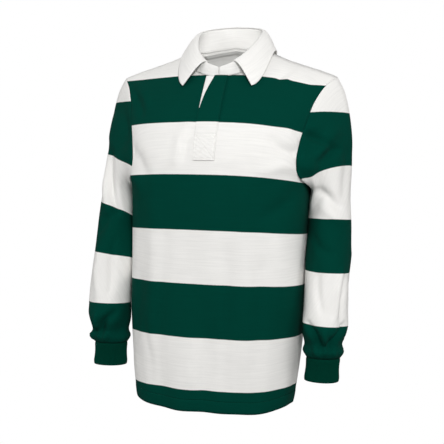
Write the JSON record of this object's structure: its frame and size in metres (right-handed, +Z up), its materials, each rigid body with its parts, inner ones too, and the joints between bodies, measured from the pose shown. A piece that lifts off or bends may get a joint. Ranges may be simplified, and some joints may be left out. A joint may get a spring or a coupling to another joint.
{
  "type": "rugby shirt",
  "caption": "Long-sleeved rugby shirt in broad two-colour hoops, with a white fold-over collar, covered fly placket and ribbed cuffs, filled out as worn.",
  "frame": {"origin": "between the shoulders, midway between the two points where the shoulder seams meet the collar, at the height of the wearer's shoulders", "axes": "+Z up towards the collar, -Y out of the front, +X towards the wearer's left sleeve"},
  "size_m": [0.558, 0.276, 0.8133],
  "materials": {
    "hooped_jersey": "matte cotton jersey in green and white hoops",
    "green_rib": "matte ribbed knit",
    "white_twill": "matte cotton twill",
    "white_jersey": "matte cotton jersey",
    "white_rubber": "satin"
  },
  "bodies": {
    "root": {"front": "hooped_jersey", "back": "hooped_jersey", "sleeve_left": "hooped_jersey", "sleeve_right": "hooped_jersey", "cuff_left": "green_rib", "cuff_right": "green_rib", "collar_stand": "white_twill", "collar_leaf": "white_twill", "neck_tape": "white_twill", "placket_fly": "hooped_jersey", "placket_under": "white_jersey", "neck_button": "white_rubber"}
  },
  "joints": []
}
